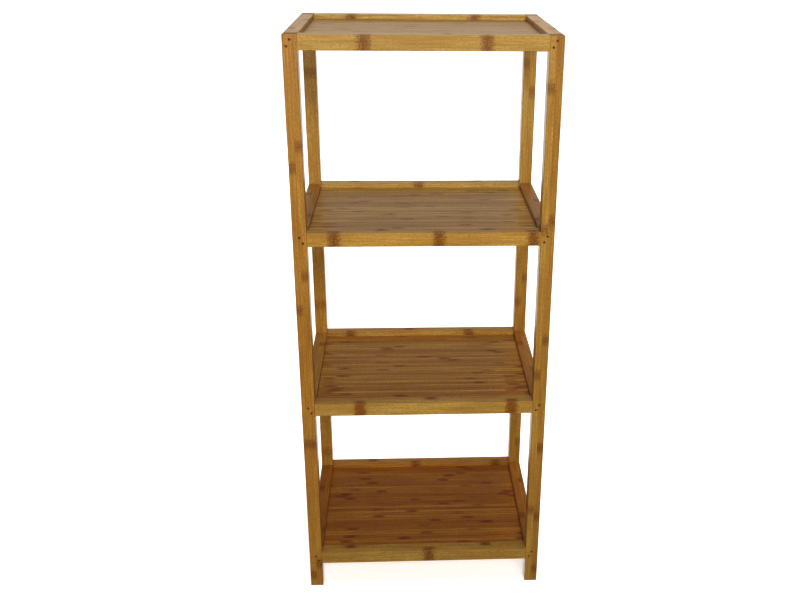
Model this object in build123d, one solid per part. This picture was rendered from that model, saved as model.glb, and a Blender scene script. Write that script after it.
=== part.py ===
from build123d import *
import os

os.makedirs("parts", exist_ok=True)

# Tiered rack of square bamboo bars with four tray shelves, in millimetres.
# Origin: on the floor under the middle of the rack. +X right, +Y to the back, +Z up.

# The rack as a whole
rack_width = 370.0          # outer side faces of the posts
rack_depth = 284.0          # front faces to back faces of the posts
rack_height = 874.0         # floor to the tops of the posts and of the top rails
leg_height = 43.5           # floor to the underside of the bottom tier's rails
tier_names = ("top", "upper", "lower", "bottom")

# Bar stock
post_width = 20.0           # along X
post_depth = 20.0           # along Y
rail_thickness = 20.0
rail_height = 20.5
edge_easing = 0.8           # radius on the long edges of every bar and the post ends

# Shelf panels, whose tongues stand in grooves in the rails
panel_thickness = 6.0
panel_recess = 7.0          # rail tops down to the panel's top face
panel_side_gap = 0.2        # panel's shoulder to the rail's inner face
tongue_thickness = 4.0      # measured up from the panel's underside
groove_depth = 5.0
groove_headroom = 0.2       # above the tongue inside the groove
tongue_end_gap = 0.5        # tongue's edge to the bottom of the groove
panel_corner_gap = 0.5      # notched panel corner to the post

# Brad nails, through a front or back post into the end of a side rail
nail_diameter = 1.6
nail_head_diameter = 2.5
nail_head_thickness = 0.6
nail_sink = 1.6             # post face down to the punched nail head
nail_bite = 20.0            # length inside the side rail
nail_point = 2.0            # length of the taper
nail_tip_radius = 0.1
nail_fit = 0.05             # radial room round a nail
upper_nail_gap = 0.8        # timber between the upper nail and the screw crossing under it
lower_nail_gap = 2.2        # timber between the lower nail and the screw crossing over it
lower_nail_lean = 4.5       # sideways from the upper nail to the lower one
outward_leans = (("top", "left"),)   # joints whose lower nail leans to the rack's outside

# Countersunk wood screws, through the side face of a post into the end of a front or back rail
screw_diameter = 4.0
screw_head_diameter = 8.0
screw_head_rim = 0.4        # straight rim above the countersunk cone
screw_sink = 0.3            # post face down to the screw head
screw_bite = 22.0           # length inside the rail
screw_point = 4.0           # length of the taper
screw_tip_radius = 0.2
screw_fit = 0.05            # radial room round a screw
drive_length = 4.6          # cross recess in the head, tip to tip
drive_width = 1.1
drive_depth = 1.3

# Worked out from the sizes above
post_x = (rack_width - post_width) / 2
post_y = (rack_depth - post_depth) / 2
rail_x = (rack_width - rail_thickness) / 2
rail_y = (rack_depth - rail_thickness) / 2
front_rail_length = rack_width - 2 * post_width
side_rail_length = rack_depth - 2 * post_depth
screw_y = (rack_depth - rail_thickness + groove_depth) / 2   # middle of the timber outside the groove
upper_nail_z = screw_diameter / 2 + nail_diameter / 2 + upper_nail_gap
lower_nail_z = -(screw_diameter / 2 + nail_diameter / 2 + lower_nail_gap)
tier_spacing = (rack_height - leg_height - rail_height) / (len(tier_names) - 1)   # rail tops to rail tops
tier_tops = {name: rack_height - index * tier_spacing for index, name in enumerate(tier_names)}
sides = {"left": -1, "right": 1}
ends = {"front": -1, "back": 1}
overshoot = 1.0             # how far a cutting shape starts outside the timber


def write(shape, node):
    """Write one node's solids to its STEP file."""
    shape.label = node
    export_step(shape, f"parts/{node}.step")


def pin(profile, place, direction):
    """A turned shape from (radius, depth) corners, its axis at place, pointing along direction."""
    corners = [(0, profile[0][1])] + list(profile) + [(0, profile[-1][1])]
    half_section = Plane.XZ * make_face(Polyline(*corners, close=True))
    turned = revolve(half_section, Axis.Z)
    return Plane(origin=place, z_dir=direction) * turned


def nail_places(tier, side, end):
    """Start point on the post's face of both nails of one joint."""
    x = sides[side] * post_x
    face_y = ends[end] * rack_depth / 2
    middle_z = tier_tops[tier] - rail_height / 2
    inward = sides[side] if (tier, side) in outward_leans else -sides[side]
    upper = (x, face_y, middle_z + upper_nail_z)
    lower = (x + inward * lower_nail_lean, face_y, middle_z + lower_nail_z)
    return [upper, lower]


def nail(place, end):
    """One nail, driven from the post's face towards the middle of the rack."""
    head = nail_head_diameter / 2
    shank = nail_diameter / 2
    tip = post_depth + nail_bite
    profile = [
        (head, nail_sink),
        (head, nail_sink + nail_head_thickness),
        (shank, nail_sink + nail_head_thickness),
        (shank, tip - nail_point),
        (nail_tip_radius, tip),
    ]
    return pin(profile, place, (0, -ends[end], 0))


def nail_hole(place, end):
    """The hole a nail leaves: its head's bore, open at the face, and its shank's."""
    head = nail_head_diameter / 2 + nail_fit
    shank = nail_diameter / 2 + nail_fit
    shoulder = nail_sink + nail_head_thickness
    depth = post_depth + nail_bite + nail_fit
    profile = [(head, -overshoot), (head, shoulder), (shank, shoulder), (shank, depth)]
    return pin(profile, place, (0, -ends[end], 0))


def screw_place(tier, side, end):
    """Start point of one screw on the side face of its post."""
    return (sides[side] * rack_width / 2, ends[end] * screw_y, tier_tops[tier] - rail_height / 2)


def screw(place, side):
    """One countersunk screw with a cross recess, driven from the side face."""
    head = screw_head_diameter / 2
    shank = screw_diameter / 2
    rim = screw_sink + screw_head_rim
    cone = rim + head - shank
    tip = post_width + screw_bite
    profile = [
        (head, screw_sink),
        (head, rim),
        (shank, cone),
        (shank, tip - screw_point),
        (screw_tip_radius, tip),
    ]
    body = pin(profile, place, (-sides[side], 0, 0))
    recess_x = place[0] - sides[side] * (screw_sink + (drive_depth - overshoot) / 2)
    recess = Pos(recess_x, place[1], place[2])
    slot_depth = drive_depth + overshoot
    upright = recess * Box(slot_depth, drive_width, drive_length)
    level = recess * Box(slot_depth, drive_length, drive_width)
    return body - upright - level


def screw_hole(place, side):
    """Countersink, clearance hole and pilot hole for one screw."""
    head = screw_head_diameter / 2 + screw_fit
    shank = screw_diameter / 2 + screw_fit
    rim = screw_sink + screw_head_rim
    cone = rim + screw_head_diameter / 2 - screw_diameter / 2
    depth = post_width + screw_bite + screw_fit
    profile = [(head, -overshoot), (head, rim), (shank, cone), (shank, depth)]
    return pin(profile, place, (-sides[side], 0, 0))


def post(side, end):
    """One full-height square post, drilled for the nails and screws of every tier."""
    middle = Pos(sides[side] * post_x, ends[end] * post_y, rack_height / 2)
    bar = middle * Box(post_width, post_depth, rack_height)
    bar = fillet(bar.edges(), edge_easing)
    for tier in tier_names:
        for place in nail_places(tier, side, end):
            bar -= nail_hole(place, end)
        bar -= screw_hole(screw_place(tier, side, end), side)
    return bar


def panel_slab(tier, reach, thickness):
    """A slab on the level of the panel's underside that reaches past the rails' inner faces."""
    underside = tier_tops[tier] - panel_recess - panel_thickness
    length = rack_width - 2 * rail_thickness + 2 * reach
    width = rack_depth - 2 * rail_thickness + 2 * reach
    return Pos(0, 0, underside + thickness / 2) * Box(length, width, thickness)


def panel_groove(tier):
    """The block of space that a panel's tongue needs inside its four rails."""
    return panel_slab(tier, groove_depth, tongue_thickness + groove_headroom)


def front_or_back_rail(tier, end):
    """A rail between the left and right posts, grooved inside, drilled at both ends for its screws."""
    middle = Pos(0, ends[end] * rail_y, tier_tops[tier] - rail_height / 2)
    bar = middle * Box(front_rail_length, rail_thickness, rail_height)
    bar = fillet(bar.edges().filter_by(Axis.X), edge_easing)
    bar -= panel_groove(tier)
    for side in sides:
        bar -= screw_hole(screw_place(tier, side, end), side)
    return bar


def side_rail(tier, side):
    """A rail between the front and back posts, grooved inside, with nail holes in both ends."""
    middle = Pos(sides[side] * rail_x, 0, tier_tops[tier] - rail_height / 2)
    bar = middle * Box(rail_thickness, side_rail_length, rail_height)
    bar = fillet(bar.edges().filter_by(Axis.Y), edge_easing)
    bar -= panel_groove(tier)
    for end in ends:
        for place in nail_places(tier, side, end):
            bar -= nail_hole(place, end)
    return bar


def panel(tier):
    """A shelf panel with a tongue on its four edges, notched round the four posts."""
    board = panel_slab(tier, -panel_side_gap, panel_thickness)
    board += panel_slab(tier, groove_depth - tongue_end_gap, tongue_thickness)
    notch_length = post_width + panel_corner_gap
    notch_width = post_depth + panel_corner_gap
    for side in sides.values():
        for end in ends.values():
            notch_x = side * (rack_width - notch_length) / 2
            notch_y = end * (rack_depth - notch_width) / 2
            board -= Pos(notch_x, notch_y, rack_height / 2) * Box(notch_length, notch_width, rack_height)
    return board


for side in sides:
    for end in ends:
        write(post(side, end), f"post_{end}_{side}")
        nails = [nail(place, end) for tier in tier_names for place in nail_places(tier, side, end)]
        write(Compound(children=nails), f"nails_{end}_{side}")
        screws = [screw(screw_place(tier, side, end), side) for tier in tier_names]
        write(Compound(children=screws), f"screws_{end}_{side}")

for tier in tier_names:
    for end in ends:
        write(front_or_back_rail(tier, end), f"{tier}_{end}_rail")
    for side in sides:
        write(side_rail(tier, side), f"{tier}_{side}_rail")
    write(panel(tier), f"{tier}_panel")
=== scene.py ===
import math

import bmesh
import bpy
from mathutils import Matrix, Vector


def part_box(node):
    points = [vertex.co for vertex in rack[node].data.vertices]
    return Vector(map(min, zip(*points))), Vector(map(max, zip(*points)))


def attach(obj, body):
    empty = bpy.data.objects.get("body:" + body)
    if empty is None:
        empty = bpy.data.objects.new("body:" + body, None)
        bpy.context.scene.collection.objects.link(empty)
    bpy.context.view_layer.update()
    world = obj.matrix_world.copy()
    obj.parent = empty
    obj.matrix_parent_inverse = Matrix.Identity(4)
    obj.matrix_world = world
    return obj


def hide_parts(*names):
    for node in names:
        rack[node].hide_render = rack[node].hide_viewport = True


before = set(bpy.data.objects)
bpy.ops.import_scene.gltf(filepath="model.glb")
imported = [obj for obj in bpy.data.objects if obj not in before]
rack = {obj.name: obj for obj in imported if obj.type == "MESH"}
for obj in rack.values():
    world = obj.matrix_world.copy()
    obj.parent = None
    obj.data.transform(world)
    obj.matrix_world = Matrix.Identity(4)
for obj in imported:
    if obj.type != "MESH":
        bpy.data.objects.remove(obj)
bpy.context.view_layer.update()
mm = 0.001

# ---------------------------------------------------------------- posts
# Four full-height square bars of caramel bamboo, each glued from two 10 mm laminations, planed,
# eased along the arrises and lacquered. They are drilled for the nails and screws of every tier.


class Wire:
    """One output of a shader node. Python's operators on it add Math nodes."""

    def __init__(self, finish, socket):
        self.finish = finish
        self.socket = socket

    def maths(self, operation, *values):
        return self.finish.maths(operation, *values)

    def __add__(self, other):
        return self.maths("ADD", self, other)

    def __sub__(self, other):
        return self.maths("SUBTRACT", self, other)

    def __rsub__(self, other):
        return self.maths("SUBTRACT", other, self)

    def __mul__(self, other):
        return self.maths("MULTIPLY", self, other)

    def __truediv__(self, other):
        return self.maths("DIVIDE", self, other)

    def __gt__(self, other):
        return self.maths("GREATER_THAN", self, other)

    def __abs__(self):
        return self.maths("ABSOLUTE", self)

    __radd__ = __add__
    __rmul__ = __mul__

    def least(self, other):
        return self.maths("MINIMUM", self, other)

    def most(self, other):
        return self.maths("MAXIMUM", self, other)

    def fade(self, start, end):
        """0 up to start and 1 from end on, or the other way round, with a soft turn between."""
        limits = {"Value": self, 1: start, 2: end, 3: 0.0, 4: 1.0}
        return self.finish.node("ShaderNodeMapRange", {"interpolation_type": "SMOOTHSTEP"}, limits)


class Finish:
    """The nodes of a material, or of a world, being made."""

    def __init__(self, owner):
        owner.use_nodes = True
        self.owner = owner
        self.tree = owner.node_tree
        self.tree.nodes.clear()

    def node(self, kind, settings=None, inputs=None, output=0):
        """A node of any kind, with its settings first and then the values or wires of its sockets."""
        made = self.tree.nodes.new(kind)
        for name, value in (settings or {}).items():
            setattr(made, name, value)
        for key, value in (inputs or {}).items():
            if isinstance(value, Wire):
                self.tree.links.new(value.socket, made.inputs[key])
            else:
                made.inputs[key].default_value = value
        return Wire(self, made.outputs[output]) if made.outputs else None

    def maths(self, operation, *values):
        return self.node("ShaderNodeMath", {"operation": operation}, dict(enumerate(values)))

    def place(self):
        """The point on the piece, in its own coordinates and in millimetres, as three wires."""
        point = self.node("ShaderNodeTexCoord", output="Object")
        scaled = self.node("ShaderNodeVectorMath", {"operation": "SCALE"}, {0: point, "Scale": 1 / mm})
        return [self.node("ShaderNodeSeparateXYZ", {}, {0: scaled}, axis) for axis in "XYZ"]

    def vector(self, x, y, z):
        return self.node("ShaderNodeCombineXYZ", {}, {"X": x, "Y": y, "Z": z})

    def noise(self, x, y, z, detail=2.0, roughness=0.5):
        inputs = {"Vector": self.vector(x, y, z), "Scale": 1.0, "Detail": detail, "Roughness": roughness}
        return self.node("ShaderNodeTexNoise", {}, inputs, "Fac")

    def mix(self, share, first, second, how="MIX"):
        """Colours mixed: the first where share is 0, the second where it is 1."""
        settings = {"data_type": "RGBA", "blend_type": how, "clamp_factor": True}
        return self.node("ShaderNodeMix", settings, {0: share, 6: first, 7: second}, 2)

    def attribute(self, name):
        """A number that the mesh holds at each point."""
        return self.node("ShaderNodeAttribute", {"attribute_name": name}, {}, "Fac")

    def relief(self, height, strength, depth_mm):
        """Fine unevenness of the surface, from a height of 0 to 1 and the millimetres that 1 stands for."""
        inputs = {"Strength": strength, "Distance": depth_mm * mm, "Height": height}
        return self.node("ShaderNodeBump", {}, inputs)

    def surface(self, **inputs):
        """Ends the material in one Principled shader."""
        names = {name.replace("_", " "): value for name, value in inputs.items()}
        shader = self.node("ShaderNodeBsdfPrincipled", {}, names)
        self.node("ShaderNodeOutputMaterial", {}, {"Surface": shader})
        return self.owner


def linear_light(level):
    """One channel of a paint-chart colour, 0 to 255, as the linear light that a shader takes."""
    part = level / 255
    return ((part + 0.055) / 1.055) ** 2.4 if part > 0.04045 else part / 12.92


def stain(red, green, blue):
    return (linear_light(red), linear_light(green), linear_light(blue), 1.0)


pale_culm = stain(205, 165, 80)
honey_culm = stain(176, 133, 54)
amber_culm = stain(146, 99, 34)
node_brown = stain(140, 80, 4)
deep_brown = stain(98, 46, 0)
end_brown = stain(132, 84, 38)


def deepened(finish, colour, tone, warmth):
    """A darker or lighter colour of the same bamboo, by a tone that is partly a piece's own and partly
    painted light and shade. Steamed bamboo gets redder as it gets darker.
    """
    green = finish.maths("POWER", tone, 2.0)
    blue = finish.maths("POWER", tone, 4.0)
    channels = {0: tone * (1 + warmth), 1: green, 2: blue * (1 - 2 * warmth)}
    cast = finish.node("ShaderNodeCombineColor", {}, channels)
    return finish.mix(1.0, colour, cast, "MULTIPLY")


# How fast each pattern changes per millimetre, along the fibres and across them
waver_rate = (0.11, 0.3)
fibre_rate = (0.03, 1.9)
flame_rate = (0.014, 0.38)
broad_rate = (0.009, 0.03)
dash_rate = (0.17, 2.6)
bundle_rate = (0.006, 1.25)
ragged_rate = (0.16, 0.42)
speck_rate = (0.55, 0.85)
mottle_rate = (0.26, 0.75)
# What darkens the honey colour towards amber: where each pattern begins and is full, and its share
amber_tints = {
    "flame": (0.4, 0.64, 0.45),
    "mottle": (0.46, 0.64, 0.55),
    "dash": (0.5, 0.72, 0.45),
    "broad": (0.35, 0.7, 0.35),
}
pale_fibres = (0.3, 0.7)
strand_core = (0.34, 0.12)
strand_share = 0.25
bend_share = 0.35
# Round a node, in millimetres from its middle
bend_reach = 16.0           # where the fibres begin to bend
bend_full = 3.0
bend_width = 2.6            # how far they bend
ragged_edge = 15.0          # how far the band's edge wanders
fleck_apron = 2.0           # how far dark flecks go past the band
fleck_thinning = 0.014      # how much scarcer flecks get with each millimetre
fleck_level = (0.38, 0.5)
# How sharp the finer patterns are
fibre_detail = 3.0
fine_roughness = 0.6
# The lacquer's roughness, and what fibres and flecks add to it
lacquer_roughness = 0.36
fibre_roughness = 0.12
fleck_roughness = 0.08
# How high the fibres stand, and how deep the strands between them and the flecks lie, as shares
fibre_height = 0.5
strand_depth = 0.35
fleck_pit = 0.3


def grain(finish, where, rate, seed, detail=2.0, roughness=0.5):
    """Noise that is drawn out along the fibres."""
    along, across, through = where
    rate_along, rate_across = rate
    crosswise = across * rate_across + seed
    return finish.noise(along * rate_along, crosswise, through * rate_across, detail, roughness)


def bamboo(finish, where, to_node, seed, tone, look, band):
    """Bamboo as a solid: fibres along the first coordinate, bundles across the others, and the
    brown bands where the culm had its nodes. All in millimetres. Returns colour, roughness, height."""
    along, across, through = where
    band_depth, fleck_depth, warmth = look
    band_edge, band_full = band
    near = to_node.fade(bend_reach, bend_full)
    waver = grain(finish, where, waver_rate, seed) - 0.5
    bent = across + waver * near * bend_width
    fibres = (along, bent, through)
    fibre = grain(finish, fibres, fibre_rate, seed, fibre_detail, fine_roughness)
    patterns = {
        "flame": finish.noise(along * flame_rate[0] + seed, bent * flame_rate[1], through * flame_rate[1]),
        "mottle": grain(finish, where, mottle_rate, seed, roughness=fine_roughness),
        "dash": grain(finish, fibres, dash_rate, seed, roughness=fine_roughness),
        "broad": grain(finish, where, broad_rate, seed, detail=1.0),
    }
    cell = finish.vector(along * bundle_rate[0], bent * bundle_rate[1] + seed, through * bundle_rate[1])
    cells = {"Vector": cell, "Scale": 1.0}
    to_bundle = finish.node("ShaderNodeTexVoronoi", {"feature": "F1"}, cells, "Distance")
    strand = to_bundle.fade(*strand_core)
    edge = to_node + (grain(finish, where, ragged_rate, seed) - 0.5) * ragged_edge
    ring = edge.fade(band_edge, band_full)
    speck = grain(finish, where, speck_rate, seed, roughness=fine_roughness) - edge * fleck_thinning
    fleck = speck.fade(*fleck_level) * edge.fade(band_edge + fleck_apron, band_full)
    colour = finish.mix(fibre.fade(*pale_fibres), honey_culm, pale_culm)
    for name, (start, full, share) in amber_tints.items():
        colour = finish.mix(patterns[name].fade(start, full) * share, colour, amber_culm)
    colour = finish.mix(strand * strand_share, colour, amber_culm)
    colour = finish.mix(near * bend_share, colour, amber_culm)
    colour = finish.mix(ring * band_depth, colour, node_brown)
    colour = finish.mix(fleck * fleck_depth, colour, deep_brown)
    colour = deepened(finish, colour, tone, warmth)
    rough = lacquer_roughness + (fibre - 0.5) * fibre_roughness + fleck * fleck_roughness
    height = fibre * fibre_height - strand * strand_depth - fleck * fleck_pit
    return colour, rough, height


def distance_to(nodes_at, along):
    """Distance from a point to the nearest of a bar's nodes."""
    nearest = abs(along - nodes_at[0])
    for node_at in nodes_at[1:]:
        nearest = nearest.least(abs(along - node_at))
    return nearest


X, Y, Z = 0, 1, 2
bar_band = (10.0, 6.5)      # a node's band on a bar: its edge, and where it is full, from the middle
lamination_seed = 17.3      # sets the second lamination's grain apart from the first's
glue_line = (0.22, 0.05)    # half its width, and half that of its darkest part
glue_share = 0.35
glue_pit = 0.6
arris_shade_band = (1.5, 0.4)     # how far in from a bar's edges painted shade darkens them
arris_shade_share = 0.35
arris_roughness = 0.08
nail_hole_shade = (2.6, 1.2)     # radius of the painted shade round a nail hole, and of its darkest part
nail_hole_shade_share = 0.65
square_on = (0.6, 0.8)      # how squarely a face looks along the bar to count as its end
end_grain_share = 0.55
end_grain_roughness = 0.2
foot_shade = (620.0, 400.0)  # heights between which painted shade darkens the posts towards their feet
relief_strength = 0.35
relief_depth = 0.12


def end_on(finish, axis):
    """1 on the sawn ends of a bar and 0 on its sides."""
    facing = finish.node("ShaderNodeTexCoord", output="Normal")
    lengthwise = finish.node("ShaderNodeSeparateXYZ", {}, {0: facing}, "XYZ"[axis])
    return abs(lengthwise).fade(*square_on)


def with_nail_hole_shade(finish, colour, place, holes):
    """Paints shade round nail holes, given across and up, on the faces that they open in: the colour
    darkens towards each hole.
    """
    on_face = finish.vector(place[X], 0.0, place[Z])
    for hole_x, hole_z in holes:
        to_hole = {0: on_face, 1: (hole_x, 0.0, hole_z)}
        away = finish.node("ShaderNodeVectorMath", {"operation": "DISTANCE"}, to_hole, "Value")
        # Painted shade: deep brown is mixed in towards each hole, as if the hole's shadow spread onto the
        # face.
        colour = finish.mix(away.fade(*nail_hole_shade) * nail_hole_shade_share, colour, deep_brown)
    return colour


def bar_finish(name, axes, nodes_at, tones, seed, look, foot_shading=0.0, shaded_holes=()):
    """A bar of two laminations. Each has a tone and nodes of its own, given in the rack's frame. The tones
    also carry painted light and shade.
    """
    finish = Finish(bpy.data.materials.new(name + "_bamboo"))
    low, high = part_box(name)
    place = finish.place()
    length_axis, split_axis = axes
    other_axis = X + Y + Z - length_axis - split_axis
    low_mm = [value / mm for value in low]
    size_mm = [(far - near) / mm for near, far in zip(low, high)]
    along = place[length_axis]
    across = place[split_axis] - low_mm[split_axis]
    through = place[other_axis] - low_mm[other_axis]
    second = across > size_mm[split_axis] / 2
    first_distance = distance_to(nodes_at[0], along)
    second_distance = distance_to(nodes_at[1], along)
    to_node = first_distance + (second_distance - first_distance) * second
    tone = tones[0] + second * (tones[1] - tones[0])
    # Painted shade: the post darkens towards its foot, as the light falls off lower down.
    if foot_shading:
        tone = tone * (1 - along.fade(*foot_shade) * foot_shading)
    where = (along, across, through)
    grain_seed = seed + second * lamination_seed
    colour, rough, height = bamboo(finish, where, to_node, grain_seed, tone, look, bar_band)
    glue = abs(across - size_mm[split_axis] / 2).fade(*glue_line)
    colour = finish.mix(glue * glue_share, colour, node_brown)
    in_across = across.least(size_mm[split_axis] - across)
    in_through = through.least(size_mm[other_axis] - through)
    # Painted shade: the colour darkens towards a bar's rounded arrises, as if they turned out of the light.
    arris_shade = in_across.most(in_through).fade(*arris_shade_band)
    colour = finish.mix(arris_shade * arris_shade_share, colour, amber_culm)
    # Painted shade round the nail holes.
    if shaded_holes:
        colour = with_nail_hole_shade(finish, colour, place, shaded_holes)
    sawn = end_on(finish, length_axis)
    colour = finish.mix(sawn * end_grain_share, colour, end_brown)
    rough = rough + arris_shade * arris_roughness + sawn * end_grain_roughness
    bump = finish.relief(height - glue * glue_pit, relief_strength, relief_depth)
    return finish.surface(Base_Color=colour, Roughness=rough, Normal=bump)


def wear(name, material):
    """Puts a finish on a piece that the frame already holds."""
    rack[name].data.materials.clear()
    rack[name].data.materials.append(material)


tiers = ("top", "upper", "lower", "bottom")
ends = ("front", "back")
sides = ("left", "right")
upper_nail_rise = 3.6       # of the two nails in a joint, from the middle of the rail's height
lower_nail_drop = 5.0
lower_nail_lean = 4.5       # sideways from the upper nail, towards the rack's middle
outward_leans = (("top", "left"),)   # joints whose lower nail leans to the rack's outside


def nail_points(tier, side):
    """Where both nails of one joint of a side rail are, across and up, in millimetres."""
    low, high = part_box(f"{tier}_{side}_rail")
    middle = (low + high) / 2 / mm
    inward = -math.copysign(1, middle.x)
    lean = -inward if (tier, side) in outward_leans else inward
    upper = (middle.x, middle.z + upper_nail_rise)
    return upper, (middle.x + lean * lower_nail_lean, middle.z - lower_nail_drop)


# The way across which each post is split in two, the heights of the nodes in both laminations, their tones,
# how warm the colour is, and how much painted shade darkens the post towards its foot. The back posts'
# higher tones are partly painted light, where the tiers keep the light off them.
posts = {
    "post_front_left": (X, [(21, 265, 487, 697), (42, 265, 540, 727)], (0.92, 0.92), -0.02, 0.03),
    "post_front_right": (X, [(138, 378, 607, 805), (24, 125, 252, 435, 620)], (0.99, 0.91), -0.05, 0.03),
    "post_back_left": (Y, [(92, 387, 785), (210, 560)], (1.1, 1.0), 0.04, 0.08),
    "post_back_right": (X, [(390, 800), (108, 435, 755)], (1.13, 1.09), 0.0, 0.12),
}
post_band_depth = 0.06
post_fleck_depths = {"front": 0.55, "back": 0.33}
post_seed_step = 3.7
for number, (name, (split_axis, nodes_at, tones, warmth, foot_shading)) in enumerate(posts.items()):
    end, side = name.split("_")[1:]
    # The nail holes on this post's side, round which shade is painted.
    shaded_holes = [point for tier in tiers for point in nail_points(tier, side)]
    look = (post_band_depth, post_fleck_depths[end], warmth)
    seed = post_seed_step * number
    wear(name, bar_finish(name, (Z, split_axis), nodes_at, tones, seed, look, foot_shading, shaded_holes))

# ---------------------------------------------------------------- rails
# Square bars between the posts, four to a tier, butted and flush on top, with a groove inside for
# the panel. Their two laminations lie side by side, and a node shows as a brown band across a face.

# The places of the nodes in both laminations, along the rail from its middle, and their tones. The tones
# are partly the bars' own and partly painted light: the bottom tier is darker as painted shade, and the
# upper back rails are lighter as painted light. The first lamination is the front one in a front or back
# rail, and the left one in a side rail.
rails = {
    "top_front": ([(-79, 83), (30,)], (1.07, 1.03)),
    "upper_front": ([(-127, 21, 155), (-60, 90)], (1.04, 1.0)),
    "lower_front": ([(-97, 133), (10,)], (1.07, 1.0)),
    "bottom_front": ([(7,), (-120, 100)], (0.99, 0.94)),
    "top_back": ([(-107, 84), (0,)], (1.25, 1.1)),
    "upper_back": ([(-4,), (-110, 95)], (1.24, 1.06)),
    "lower_back": ([(-124, 85), (-20,)], (1.05, 1.0)),
    "bottom_back": ([(-10, 140), (-90,)], (0.91, 0.88)),
    "top_left": ([(-70,), (40,)], (1.0, 1.0)),
    "upper_left": ([(60,), (-55,)], (0.96, 0.92)),
    "lower_left": ([(-20,), (75,)], (0.94, 1.0)),
    "bottom_left": ([(45,), (-80,)], (0.78, 0.77)),
    "top_right": ([(35,), (-60,)], (1.16, 1.06)),
    "upper_right": ([(-80,), (20,)], (0.84, 0.88)),
    "lower_right": ([(70,), (-30,)], (0.84, 0.9)),
    "bottom_right": ([(-50,), (60,)], (0.81, 0.84)),
}
# How dark the bands and the flecks are, and how warm the colour is
front_looks = {
    "top_front": (0.28, 0.75, -0.06),
    "upper_front": (0.32, 0.8, -0.02),
    "lower_front": (0.8, 0.45, -0.06),
    "bottom_front": (0.45, 0.7, -0.1),
}
back_look = (0.3, 0.7, 0.0)
top_side_look = (0.2, 0.5, 0.03)
side_look = (0.2, 0.5, 0.08)
first_rail_seed = 40
rail_seed_step = 2.9
for number, (place_name, (nodes_at, tones)) in enumerate(rails.items()):
    name = place_name + "_rail"
    axes = (X, Y)
    look = front_looks.get(place_name, back_look)
    if place_name.endswith(sides):
        axes = (Y, X)
        look = top_side_look if place_name.startswith("top") else side_look
    seed = first_rail_seed + rail_seed_step * number
    wear(name, bar_finish(name, axes, nodes_at, tones, seed, look))

# ---------------------------------------------------------------- shelf panels
# Boards edge-glued from 7 mm bamboo strips on edge, run left to right and sanded flush. A tongue on
# all four edges stands in the rails' grooves. Strips differ in tone, and their nodes fall at random.

strips_per_panel = 35
shoulder_gap = 0.2 * mm
tongue_thickness = 4.0 * mm
corner_gap = 0.5 * mm
strip_easing = 0.22 * mm
strip_glue_gap = 0.04 * mm
same_place = 0.0001 * mm    # corners nearer than this are level with each other
merge_distance = 0.001 * mm


def blocks(xs, ys, zs, filled):
    """A closed mesh round the filled cells of a grid, with only its outer faces."""
    shape = bmesh.new()
    corners = {}

    def corner(i, j, k):
        if (i, j, k) not in corners:
            corners[i, j, k] = shape.verts.new((xs[i], ys[j], zs[k]))
        return corners[i, j, k]

    cells = {
        (i, j, k)
        for i in range(len(xs) - 1)
        for j in range(len(ys) - 1)
        for k in range(len(zs) - 1)
        if filled(i, j, k)
    }
    walls = {
        (-1, 0, 0): ((0, 0, 0), (0, 0, 1), (0, 1, 1), (0, 1, 0)),
        (1, 0, 0): ((1, 0, 0), (1, 1, 0), (1, 1, 1), (1, 0, 1)),
        (0, -1, 0): ((0, 0, 0), (1, 0, 0), (1, 0, 1), (0, 0, 1)),
        (0, 1, 0): ((0, 1, 0), (0, 1, 1), (1, 1, 1), (1, 1, 0)),
        (0, 0, -1): ((0, 0, 0), (0, 1, 0), (1, 1, 0), (1, 0, 0)),
        (0, 0, 1): ((0, 0, 1), (1, 0, 1), (1, 1, 1), (0, 1, 1)),
    }
    for i, j, k in sorted(cells):
        for (di, dj, dk), wall in walls.items():
            if (i + di, j + dj, k + dk) not in cells:
                shape.faces.new([corner(i + a, j + b, k + c) for a, b, c in wall])
    return shape


def settled(name, shape):
    """The shape as a mesh that lists its corners and faces in the same order each time."""
    corners = sorted(tuple(vert.co) for vert in shape.verts)
    numbers = {corner: number for number, corner in enumerate(corners)}
    faces = []
    for face in shape.faces:
        ring = [numbers[tuple(vert.co)] for vert in face.verts]
        first = ring.index(min(ring))
        faces.append(ring[first:] + ring[:first])
    shape.free()
    mesh = bpy.data.meshes.new(name)
    mesh.from_pydata(corners, [], sorted(faces))
    return mesh


def strip_mesh(name, xs, ys, zs, filled, glued_sides):
    """One strip. Its top and bottom edges along the glued sides, whose y are given, are eased."""
    shape = blocks(xs, ys, zs, filled)

    def level(first, second):
        return abs(first - second) < same_place

    def to_ease(edge):
        first, second = [vert.co for vert in edge.verts]
        lengthwise = level(first.y, second.y) and level(first.z, second.z)
        outer = level(first.z, zs[0]) or level(first.z, zs[-1])
        return lengthwise and outer and any(level(first.y, glued_y) for glued_y in glued_sides)

    eased = [edge for edge in shape.edges if to_ease(edge)]
    bmesh.ops.bevel(shape, geom=eased, offset=strip_easing, segments=2, affect="EDGES", profile=0.5)
    bmesh.ops.remove_doubles(shape, verts=shape.verts, dist=merge_distance)
    bmesh.ops.dissolve_degenerate(shape, edges=shape.edges, dist=merge_distance)
    bmesh.ops.triangulate(shape, faces=shape.faces)
    bmesh.ops.dissolve_degenerate(shape, edges=shape.edges, dist=merge_distance)
    return bpy.data.objects.new(name, settled(name, shape))


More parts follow.
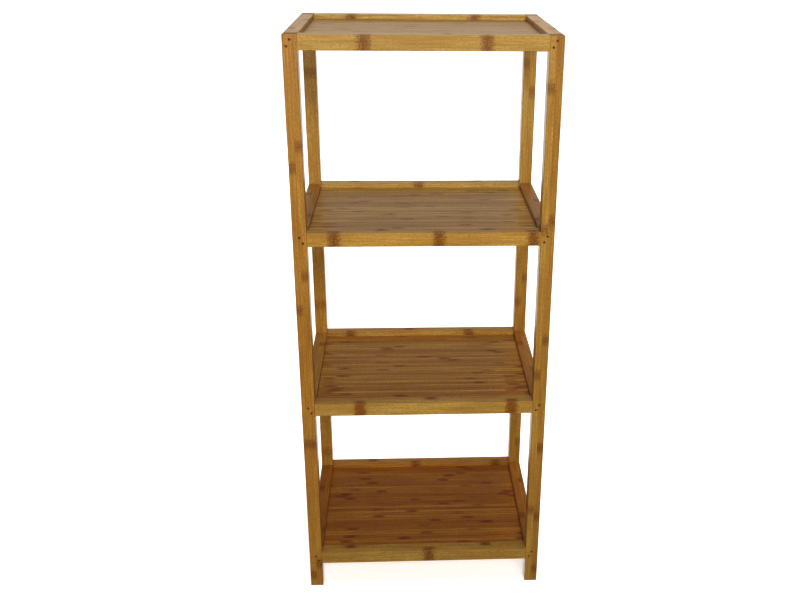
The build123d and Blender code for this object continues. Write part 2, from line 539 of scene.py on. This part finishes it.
class Recipe:
    """A Geometry Nodes tree being made, with its named inputs."""

    def __init__(self, name, inputs):
        self.tree = bpy.data.node_groups.new(name, "GeometryNodeTree")
        self.tree.interface.new_socket("Geometry", in_out="INPUT", socket_type="NodeSocketGeometry")
        for label, kind in inputs.items():
            self.tree.interface.new_socket(label, in_out="INPUT", socket_type="NodeSocket" + kind)
        self.tree.interface.new_socket("Geometry", in_out="OUTPUT", socket_type="NodeSocketGeometry")
        self.asked = self.tree.nodes.new("NodeGroupInput").outputs

    def node(self, kind, settings=None, inputs=None, output=0):
        made = self.tree.nodes.new(kind)
        for key, value in (settings or {}).items():
            setattr(made, key, value)
        for key, value in (inputs or {}).items():
            if isinstance(value, bpy.types.NodeSocket):
                self.tree.links.new(value, made.inputs[key])
            else:
                made.inputs[key].default_value = value
        return made.outputs[output]

    def maths(self, operation, first, second):
        return self.node("ShaderNodeMath", {"operation": operation}, {0: first, 1: second})

    def chance(self, seed, low=0.0, high=1.0):
        inputs = {2: low, 3: high, "Seed": seed}
        return self.node("FunctionNodeRandomValue", {"data_type": "FLOAT"}, inputs, 1)

    def finished(self, geometry):
        real = self.node("GeometryNodeRealizeInstances", {}, {"Geometry": geometry})
        inputs = {"Geometry": real, "Material": self.asked["Material"]}
        painted = self.node("GeometryNodeSetMaterial", {}, inputs)
        self.tree.links.new(painted, self.tree.nodes.new("NodeGroupOutput").inputs["Geometry"])
        return self.tree


seed_stride = 100.0         # from the seed of one random draw to that of the next


def glued_strips():
    """The tree that lays strips side by side. The first and last are the edge strips, with tongues."""
    inputs = {"Inner Strip": "Object", "Edge Strip": "Object", "Strips": "Int", "Pitch": "Float"}
    recipe = Recipe("glued_strips", inputs | {"Middle": "Vector", "Seed": "Int", "Material": "Material"})
    asked = recipe.asked
    node = recipe.node
    last = recipe.maths("SUBTRACT", asked["Strips"], 1.0)
    first_y = recipe.maths("MULTIPLY", recipe.maths("MULTIPLY", last, asked["Pitch"]), -0.5)
    start = node("ShaderNodeCombineXYZ", {}, {"Y": first_y})
    start = node("ShaderNodeVectorMath", {"operation": "ADD"}, {0: start, 1: asked["Middle"]})
    step = node("ShaderNodeCombineXYZ", {}, {"Y": asked["Pitch"]})
    inputs = {"Count": asked["Strips"], "Start Location": start, "Offset": step}
    line = node("GeometryNodeMeshLine", {"mode": "OFFSET"}, inputs)
    for draw, name in enumerate(("strip_tone", "strip_shift", "strip_mark")):
        value = recipe.chance(recipe.maths("ADD", asked["Seed"], draw * seed_stride))
        line = node("GeometryNodeStoreNamedAttribute", {}, {"Geometry": line, "Name": name, "Value": value})
    index = node("GeometryNodeInputIndex")
    same = {"data_type": "INT", "operation": "EQUAL"}
    is_first = node("FunctionNodeCompare", same, {2: index, 3: 0})
    is_last = node("FunctionNodeCompare", same, {2: index, 3: last})
    is_edge = node("FunctionNodeBooleanMath", {"operation": "OR"}, {0: is_first, 1: is_last})
    is_inner = node("FunctionNodeBooleanMath", {"operation": "NOT"}, {0: is_edge})
    half_turn = node("ShaderNodeCombineXYZ", {}, {"Z": recipe.maths("MULTIPLY", is_last, math.pi)})
    turn = node("FunctionNodeEulerToRotation", {}, {0: half_turn})
    inner = node("GeometryNodeObjectInfo", {}, {"Object": asked["Inner Strip"]}, "Geometry")
    edge = node("GeometryNodeObjectInfo", {}, {"Object": asked["Edge Strip"]}, "Geometry")
    inputs = {"Points": line, "Selection": is_inner, "Instance": inner}
    inners = node("GeometryNodeInstanceOnPoints", {}, inputs)
    inputs = {"Points": line, "Selection": is_edge, "Instance": edge, "Rotation": turn}
    edges = node("GeometryNodeInstanceOnPoints", {}, inputs)
    join = node("GeometryNodeJoinGeometry", {}, {0: edges})
    recipe.tree.links.new(inners, join.node.inputs[0])
    return recipe.finished(join)


def grown(name, tree, values, places=None):
    """Runs a tree with the given inputs and returns its result as a plain mesh object."""
    carrier = bpy.data.objects.new(name + "_carrier", places or bpy.data.meshes.new(name + "_carrier"))
    bpy.context.scene.collection.objects.link(carrier)
    modifier = carrier.modifiers.new("grow", "NODES")
    modifier.node_group = tree
    keys = {item.name: item.identifier for item in tree.interface.items_tree if item.in_out == "INPUT"}
    for key, value in values.items():
        modifier[keys[key]] = value
    bpy.context.view_layer.update()
    evaluated = carrier.evaluated_get(bpy.context.evaluated_depsgraph_get())
    mesh = bpy.data.meshes.new_from_object(evaluated)
    mesh.name = name
    made = bpy.data.objects.new(name, mesh)
    bpy.context.scene.collection.objects.link(made)
    bpy.data.objects.remove(carrier)
    return made


node_spacing = 290.0        # along a strip, in millimetres
strip_band = (14.0, 5.0)
faint_band = 0.25           # how dark the bands of the least marked strip are
band_spread = 0.45          # how much darker those of the most marked strip are
fleck_spread = 0.45
tone_spread = 0.15          # how far a strip's tone may lie from its board's
strip_seed = 31.0
joint_line = (0.075, 0.02)  # as shares of a strip's width
joint_share = 0.5


def panel_finish(name, seed, temper, board_low_y, pitch_mm):
    """Lacquered strips. Every strip brings its own tone, the place of its nodes and how dark they are."""
    finish = Finish(bpy.data.materials.new(name + "_bamboo"))
    where = finish.place()
    chance = finish.attribute("strip_tone")
    shift = finish.attribute("strip_shift")
    mark = finish.attribute("strip_mark")
    in_spacing = finish.maths("FRACT", where[X] / node_spacing + shift)
    to_node = abs(in_spacing - 0.5) * node_spacing
    tone, warmth, marked = temper
    strip_tone = tone * (1 - tone_spread) + chance * (2 * tone_spread * tone)
    look = ((faint_band + mark * band_spread) * marked, mark * fleck_spread * marked, warmth)
    grain_seed = seed + shift * strip_seed
    colour, rough, height = bamboo(finish, where, to_node, grain_seed, strip_tone, look, strip_band)
    in_strip = finish.maths("FRACT", (where[Y] - board_low_y) / pitch_mm)
    joint = in_strip.least(1 - in_strip).fade(*joint_line)
    colour = finish.mix(joint * joint_share, colour, deep_brown)
    bump = finish.relief(height, relief_strength, relief_depth)
    return finish.surface(Base_Color=colour, Roughness=rough, Normal=bump)


# The tone of each board, how warm its colour is, and how much its nodes are marked. These carry painted
# light too: the upper board is lighter as painted light, the bottom board is darker as painted shade, and
# the top board's cooler colour and faint marks paint in its sheen.
panel_looks = {
    "top": (1.0, -0.05, 0.4),
    "upper": (1.16, 0.08, 0.6),
    "lower": (1.0, 0.1, 1.0),
    "bottom": (0.83, 0.1, 1.1),
}
first_panel_seed = 80
panel_seed_step = 7.1
first_strip_draw = 5
strip_tree = glued_strips()
for number, tier in enumerate(tiers):
    name = tier + "_panel"
    low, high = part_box(name)
    reach_x, reach_y = high.x, high.y
    shoulder_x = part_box(tier + "_right_rail")[0].x - shoulder_gap
    shoulder_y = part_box(tier + "_back_rail")[0].y - shoulder_gap
    notch_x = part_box("post_front_right")[0].x - corner_gap
    pitch = 2 * shoulder_y / strips_per_panel
    half = pitch / 2 - strip_glue_gap / 2
    thickness = high.z - low.z
    levels = [-thickness / 2, tongue_thickness - thickness / 2, thickness / 2]
    inner_strip = strip_mesh(
        tier + "_inner_strip",
        [-reach_x, -shoulder_x, shoulder_x, reach_x],
        [-half, half],
        levels,
        lambda i, j, k: k == 0 or i == 1,
        (-half, half),
    )
    edge_strip = strip_mesh(
        tier + "_edge_strip",
        [-reach_x, -shoulder_x, -notch_x, notch_x, shoulder_x, reach_x],
        [-half - (reach_y - shoulder_y), -half, half],
        levels,
        lambda i, j, k: (j == 0 and k == 0 and i == 2) or (j == 1 and (k == 0 or 1 <= i <= 3)),
        (half,),
    )
    panel_seed = first_panel_seed + panel_seed_step * number
    values = {
        "Inner Strip": inner_strip,
        "Edge Strip": edge_strip,
        "Strips": strips_per_panel,
        "Pitch": pitch,
        "Middle": (0.0, 0.0, (low.z + high.z) / 2),
        "Seed": first_strip_draw + number,
        "Material": panel_finish(name, panel_seed, panel_looks[tier], -shoulder_y / mm, pitch / mm),
    }
    board = grown(tier + "_board", strip_tree, values)
    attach(board, "root")
    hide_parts(name)

# ---------------------------------------------------------------- nails
# Brad nails of browned steel wire, two to each joint of a side rail. They are driven through the
# posts' front and back faces into the rail's end, and their heads are punched below the face.

nail_head_radius = 1.25 * mm
nail_head_thickness = 0.6 * mm
nail_shank_radius = 0.8 * mm
nail_sink = 1.6 * mm
nail_tip_depth = 40.0 * mm
nail_taper = 2.0 * mm
nail_tip_radius = 0.1 * mm
nail_dome = 0.12 * mm
dome_flat = 0.55            # corners of the head's rounding, as shares of its radius
dome_shoulder = 0.88
nail_underside = 0.92
nail_sides = 20
face_depth = 0.01 * mm      # corners this near to a head's top are on its face


def turned(name, profile, around, sunk=None):
    """A turned piece that stands on its axis, from (radius, height) corners, head uppermost. A recess
    in its face is given as a depth at each point."""
    shape = bmesh.new()
    off_axis = shape.verts.layers.float.new("off_axis")
    depth = shape.verts.layers.float.new("depth")
    angles = [2 * math.pi * step / around for step in range(around)]
    top = shape.verts.new((0.0, 0.0, profile[0][1]))
    rings = [[shape.verts.new((r * math.cos(a), r * math.sin(a), z)) for a in angles] for r, z in profile]
    tip = shape.verts.new((0.0, 0.0, profile[-1][1]))
    for step in range(around):
        after = (step + 1) % around
        shape.faces.new((top, rings[0][step], rings[0][after]))
        shape.faces.new((tip, rings[-1][after], rings[-1][step]))
        for upper, lower in zip(rings, rings[1:]):
            shape.faces.new((upper[step], lower[step], lower[after], upper[after]))
    for vert in shape.verts:
        vert[off_axis] = math.hypot(vert.co.x, vert.co.y) / mm
        if sunk and vert.co.z > profile[0][1] - face_depth:
            vert[depth] = sunk(vert.co.x, vert.co.y)
            vert.co.z -= vert[depth]
    mesh = bpy.data.meshes.new(name)
    shape.to_mesh(mesh)
    shape.free()
    return bpy.data.objects.new(name, mesh)


def driven_fixings():
    """The tree that sets a fixing in each hole, its head outwards, turned by chance on its axis."""
    recipe = Recipe("driven_fixings", {"Fixing": "Object", "Seed": "Int", "Material": "Material"})
    node = recipe.node
    points = node("GeometryNodeMeshToPoints", {}, {"Mesh": recipe.asked["Geometry"]})
    outwards = node("GeometryNodeInputNamedAttribute", {"data_type": "FLOAT_VECTOR"}, {"Name": "outwards"})
    aim = node("FunctionNodeAlignRotationToVector", {"axis": "Z"}, {"Vector": outwards})
    spin = node("ShaderNodeCombineXYZ", {}, {"Z": recipe.chance(recipe.asked["Seed"], 0.0, 2 * math.pi)})
    inputs = {"Rotation": aim, "Rotate By": node("FunctionNodeEulerToRotation", {}, {0: spin})}
    turn = node("FunctionNodeRotateRotation", {"rotation_space": "LOCAL"}, inputs)
    fixing = node("GeometryNodeObjectInfo", {}, {"Object": recipe.asked["Fixing"]}, "Geometry")
    inputs = {"Points": points, "Instance": fixing, "Rotation": turn}
    return recipe.finished(node("GeometryNodeInstanceOnPoints", {}, inputs))


def hole_places(name, holes):
    """A mesh with one point for each hole, which also holds the way that its mouth faces."""
    mesh = bpy.data.meshes.new(name)
    mesh.from_pydata([place for place, outwards in holes], [], [])
    facing = mesh.attributes.new("outwards", "FLOAT_VECTOR", "POINT")
    for item, (place, outwards) in zip(facing.data, holes):
        item.vector = outwards
    return mesh


cloud_rate = 0.9            # of the mottling, per millimetre
cloud_detail = 3.0
cloud_sharpness = 0.6
lathe_rate = 9.0
lathe_waver = 0.5
lathe_strength = 0.25
lathe_depth = 0.04
dull_patches = (0.35, 0.7)
recess_darkening_depth = (0.2, 1.2)    # where the darkening begins in a recess and is full, in millimetres
recess_darkening_share = 0.7
cloud_roughness = 0.3       # what the mottling, the lathe rings and the recess add to the roughness
lathe_roughness = 0.15
recess_roughness = 0.2


def metal_finish(name, clean, dull, metallic, roughness):
    """Steel with lathe rings, a mottled skin, and a colour that darkens the deeper the head is sunk."""
    finish = Finish(bpy.data.materials.new(name))
    x, y, z = finish.place()
    cloud = finish.noise(x * cloud_rate, y * cloud_rate, z * cloud_rate, cloud_detail, cloud_sharpness)
    rings = finish.noise(finish.attribute("off_axis") * lathe_rate, cloud * lathe_waver, 0.0)
    deep_in_recess = (finish.attribute("depth") / mm).fade(*recess_darkening_depth)
    colour = finish.mix(cloud.fade(*dull_patches), clean, dull)
    # Darker the deeper the point lies in the head's recess.
    colour = finish.mix(deep_in_recess * recess_darkening_share, colour, deep_brown)
    rough = roughness + (cloud - 0.5) * cloud_roughness + (rings - 0.5) * lathe_roughness
    rough = rough + deep_in_recess * recess_roughness
    bump = finish.relief(rings, lathe_strength, lathe_depth)
    return finish.surface(Base_Color=colour, Metallic=metallic, Roughness=rough, Normal=bump)


nail_profile = [
    (nail_head_radius * dome_flat, -nail_sink),
    (nail_head_radius * dome_shoulder, -nail_sink - nail_dome / 2),
    (nail_head_radius, -nail_sink - nail_dome * 2),
    (nail_head_radius, -nail_sink - nail_head_thickness + nail_dome),
    (nail_head_radius * nail_underside, -nail_sink - nail_head_thickness),
    (nail_shank_radius, -nail_sink - nail_head_thickness),
    (nail_shank_radius, -nail_tip_depth + nail_taper),
    (nail_tip_radius, -nail_tip_depth),
]
nail_places = []
for tier in tiers:
    for side in sides:
        for end in ends:
            post_low, post_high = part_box(f"post_{end}_{side}")
            outwards = (0.0, -1.0, 0.0) if end == "front" else (0.0, 1.0, 0.0)
            face_y = post_low.y if end == "front" else post_high.y
            for point_x, point_z in nail_points(tier, side):
                nail_places.append(((point_x * mm, face_y, point_z * mm), outwards))
fixing_tree = driven_fixings()
brown_steel = stain(108, 70, 38)
rust = stain(78, 44, 20)
nail_seed = 3
values = {
    "Fixing": turned("brad_nail", nail_profile, nail_sides),
    "Seed": nail_seed,
    "Material": metal_finish("nail_steel", brown_steel, rust, metallic=0.4, roughness=0.5),
}
nails = grown("nails", fixing_tree, values, hole_places("nail_places", nail_places))
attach(nails, "root")
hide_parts(*[f"nails_{end}_{side}" for end in ends for side in sides])

# ---------------------------------------------------------------- screws
# Zinc-plated countersunk wood screws with a cross recess, one at each end of the front and back
# rails. They are driven through the posts' side faces until their heads are just below them.

screw_head_radius = 4.0 * mm
screw_rim = 0.4 * mm
screw_sink = 0.3 * mm
screw_shank_radius = 2.0 * mm
screw_tip_depth = 42.0 * mm
screw_taper = 4.0 * mm
screw_tip_radius = 0.2 * mm
screw_edge_round = 0.12 * mm
head_rings = 18
cross_reach = 2.3 * mm
cross_half_width = 0.62 * mm
cross_depth = 1.3 * mm
wall_slope = 2.6
screw_sides = 56
screw_inset = 7.5 * mm      # from the rail's outer face


def cross_recess(x, y):
    """How deep the cross recess is at a point of the head. Its walls slope, as the driver's do."""
    first_slot = max(abs(x) - cross_reach, abs(y) - cross_half_width)
    second_slot = max(abs(y) - cross_reach, abs(x) - cross_half_width)
    return min(cross_depth, max(0.0, -min(first_slot, second_slot) * wall_slope))


flat_radius = screw_head_radius - screw_edge_round
screw_profile = [(flat_radius * ring / head_rings, -screw_sink) for ring in range(1, head_rings + 1)]
screw_profile += [
    (screw_head_radius, -screw_sink - screw_edge_round),
    (screw_head_radius, -screw_sink - screw_rim),
    (screw_shank_radius, -screw_sink - screw_rim - screw_head_radius + screw_shank_radius),
    (screw_shank_radius, -screw_tip_depth + screw_taper),
    (screw_tip_radius, -screw_tip_depth),
]
screw_places = []
for tier in tiers:
    for end in ends:
        rail_low, rail_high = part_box(f"{tier}_{end}_rail")
        screw_y = rail_low.y + screw_inset if end == "front" else rail_high.y - screw_inset
        screw_z = (rail_low.z + rail_high.z) / 2
        for side in sides:
            post_low, post_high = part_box(f"post_{end}_{side}")
            outwards = (-1.0, 0.0, 0.0) if side == "left" else (1.0, 0.0, 0.0)
            face_x = post_low.x if side == "left" else post_high.x
            screw_places.append(((face_x, screw_y, screw_z), outwards))
zinc = stain(196, 192, 178)
dull_zinc = stain(150, 140, 116)
screw_seed = 11
values = {
    "Fixing": turned("wood_screw", screw_profile, screw_sides, cross_recess),
    "Seed": screw_seed,
    "Material": metal_finish("screw_steel", zinc, dull_zinc, metallic=1.0, roughness=0.3),
}
screws = grown("screws", fixing_tree, values, hole_places("screw_places", screw_places))
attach(screws, "root")
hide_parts(*[f"screws_{end}_{side}" for end in ends for side in sides])

# ---------------------------------------------------------------- floor, light and camera
# A plain pale floor, a large soft light high in front, a low one that fills the shade under the
# tiers, one behind, a weak sun overhead, a white room, and a camera that looks a little down.

floor_half = 30.0
floor_glow = 0.55           # keeps the ground white where the lamps leave it
paper_rate = 0.02           # per millimetre
paper_shade = stain(247, 247, 246)
paper_white = stain(250, 250, 250)
white = (1.0, 1.0, 1.0, 1.0)
floor_corners = [(x * floor_half, y * floor_half, 0.0) for x, y in ((-1, -1), (1, -1), (1, 1), (-1, 1))]
floor_mesh = bpy.data.meshes.new("floor")
floor_mesh.from_pydata(floor_corners, [], [(0, 1, 2, 3)])
floor = bpy.data.objects.new("floor", floor_mesh)
bpy.context.scene.collection.objects.link(floor)
paper = Finish(bpy.data.materials.new("floor_paper"))
paper_x, paper_y, paper_z = paper.place()
blotch = paper.noise(paper_x * paper_rate, paper_y * paper_rate, paper_z)
pale = paper.mix(blotch, paper_shade, paper_white)
floor_mesh.materials.append(
    paper.surface(Base_Color=pale, Roughness=0.9, Emission_Color=white, Emission_Strength=floor_glow)
)
floor.visible_diffuse = False
floor.visible_glossy = False


def lamp(name, kind, place, target, energy, in_gloss=True, **settings):
    """A lamp that points at its target. It isn't seen itself, and is mirrored only where in_gloss."""
    data = bpy.data.lights.new(name, kind)
    data.energy = energy
    for key, value in settings.items():
        setattr(data, key, value)
    made = bpy.data.objects.new(name, data)
    made.location = place
    made.rotation_euler = (Vector(target) - Vector(place)).to_track_quat("-Z", "Y").to_euler()
    made.visible_camera = False
    made.visible_glossy = in_gloss
    bpy.context.scene.collection.objects.link(made)


lamp(
    "softbox",
    "AREA",
    place=(0.6, -3.6, 2.6),
    target=(0.0, 0.0, 0.8),
    energy=13.0,
    shape="RECTANGLE",
    size=1.8,
    size_y=1.0,
    spread=math.radians(64),
)
lamp(
    "fill",
    "AREA",
    place=(-0.6, -3.8, 0.95),
    target=(0.0, 0.0, 0.9),
    energy=8.8,
    in_gloss=False,
    shape="RECTANGLE",
    size=2.0,
    size_y=1.2,
    spread=math.radians(58),
)
lamp(
    "back_light",
    "AREA",
    place=(-0.3, 3.2, 1.0),
    target=(0.0, 0.0, 0.6),
    energy=32.0,
    in_gloss=False,
    shape="RECTANGLE",
    size=1.8,
    size_y=1.0,
)
lamp(
    "overhead_sun",
    "SUN",
    place=(0.2, 0.1, 3.0),
    target=(0.0, 0.0, 0.0),
    energy=1.5,
    angle=math.radians(30),
)

# The room's glow by direction: dim all round, bright low down at the back, and lit from the ground
# except in front. Each limit pair is a part of the direction, from -1 to 1, and the camera sees white.
room_glow = 0.19
back_glow = 1.22
back_spread = (0.2, 0.8)
back_height = (0.42, 0.1)
front_spread = (-0.2, -0.7)
ground_line = (0.0, -0.1)
ground_glow = 0.45
front_ground_loss = 0.35
picture_gamma = 0.8
studio = bpy.data.worlds.new("studio")
room = Finish(studio)
direction = room.node("ShaderNodeTexCoord", output="Generated")
to_back = room.node("ShaderNodeSeparateXYZ", {}, {0: direction}, "Y")
to_top = room.node("ShaderNodeSeparateXYZ", {}, {0: direction}, "Z")
seen = room.node("ShaderNodeLightPath", output="Is Camera Ray")
behind = to_back.fade(*back_spread) * to_top.fade(*back_height)
ahead = to_back.fade(*front_spread)
below = to_top.fade(*ground_line) * (ground_glow - ahead * front_ground_loss)
glow = (room_glow + behind * back_glow + below).most(seen)
background = room.node("ShaderNodeBackground", {}, {"Color": white, "Strength": glow})
room.node("ShaderNodeOutputWorld", {}, {"Surface": background})
bpy.context.scene.world = studio
bpy.context.scene.view_settings.view_transform = "Standard"
bpy.context.scene.view_settings.gamma = picture_gamma

eye = Vector((-0.0297, -1.4218, 1.0215))
heading = math.radians(-3.15)
downward = math.radians(22.08)
roll = math.radians(0.676)
camera_data = bpy.data.cameras.new("camera")
camera_data.sensor_width = 36.0
camera_data.lens = 42.94
camera_data.shift_x = -0.0656
camera = bpy.data.objects.new("camera", camera_data)
turn = Matrix.Rotation(heading, 4, "Z") @ Matrix.Rotation(math.pi / 2 - downward, 4, "X")
camera.matrix_world = Matrix.Translation(eye) @ turn @ Matrix.Rotation(roll, 4, "Z")
bpy.context.scene.collection.objects.link(camera)
bpy.context.scene.camera = camera
